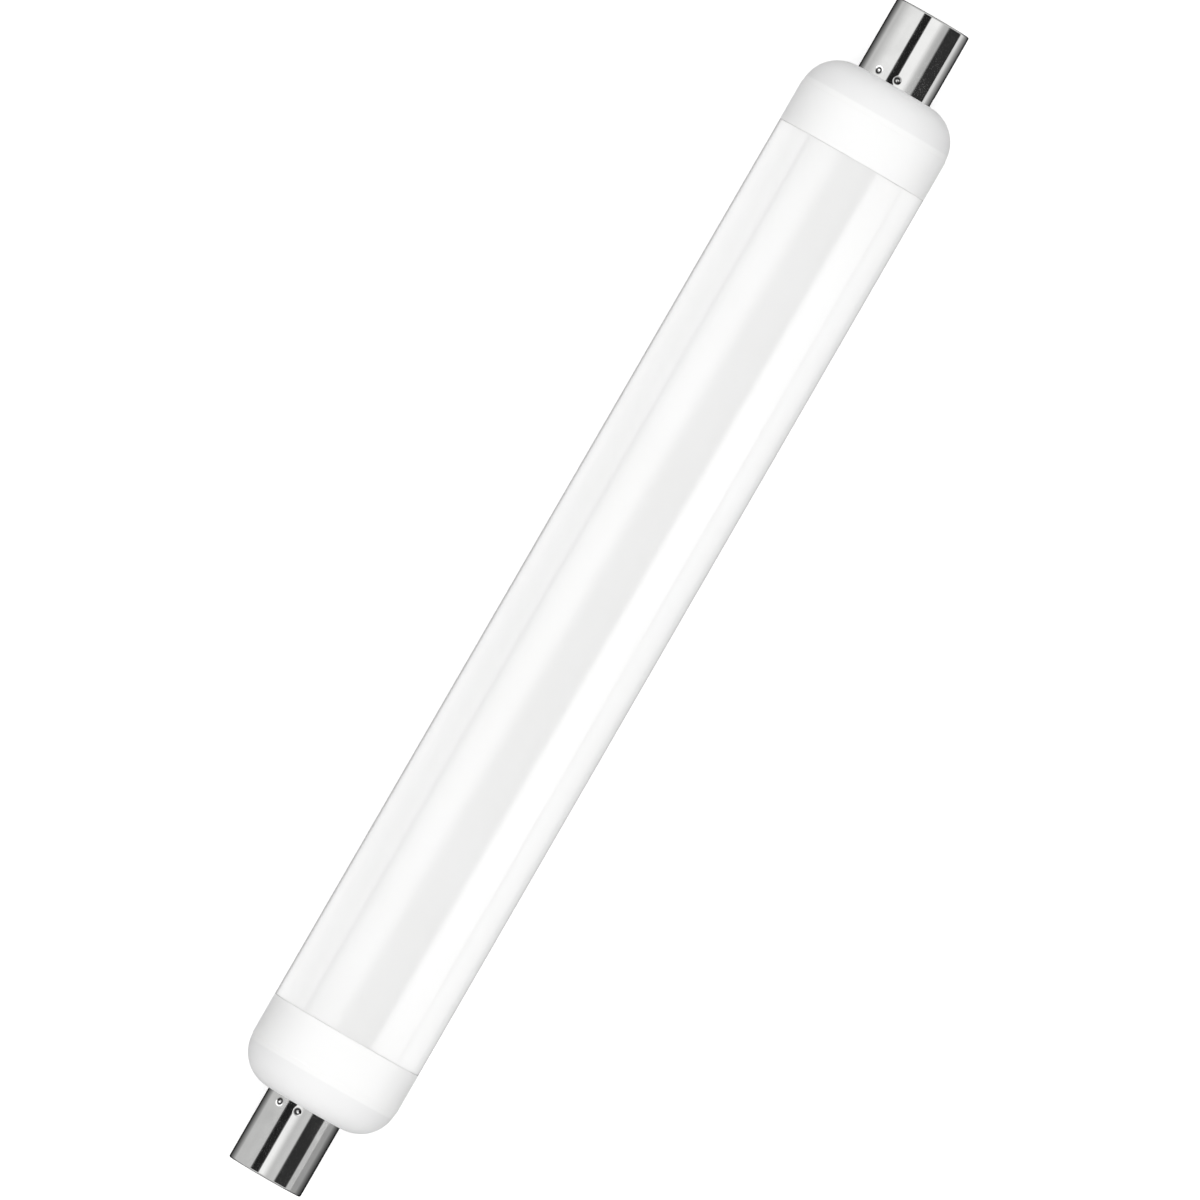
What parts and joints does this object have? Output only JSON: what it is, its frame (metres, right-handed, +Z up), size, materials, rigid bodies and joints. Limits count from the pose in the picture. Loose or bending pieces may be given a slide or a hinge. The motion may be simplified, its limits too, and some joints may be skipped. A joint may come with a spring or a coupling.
{
  "type": "tubular light bulb",
  "caption": "Double-ended tubular light bulb: an opal tube between white end caps with rounded shoulders, each carrying a plated cylindrical contact cap.",
  "frame": {"origin": "middle of the lamp, on the tube's axis", "axes": "+X along the lamp towards its right-hand contact, +Z up, with the lamp lying on its side"},
  "size_m": [0.31, 0.0384, 0.0384],
  "materials": {
    "opal_diffuser": "opal white, satin gloss, faintly translucent",
    "white_moulding": "white, fine moulded satin",
    "nickel_plate": "bright nickel plate on drawn sheet",
    "solder": "dull solder"
  },
  "bodies": {
    "root": {"opal_tube": "opal_diffuser", "end_caps": "white_moulding", "contact_cap_left": "nickel_plate", "contact_cap_right": "nickel_plate", "solder_point_left": "solder", "solder_point_right": "solder"}
  },
  "joints": []
}
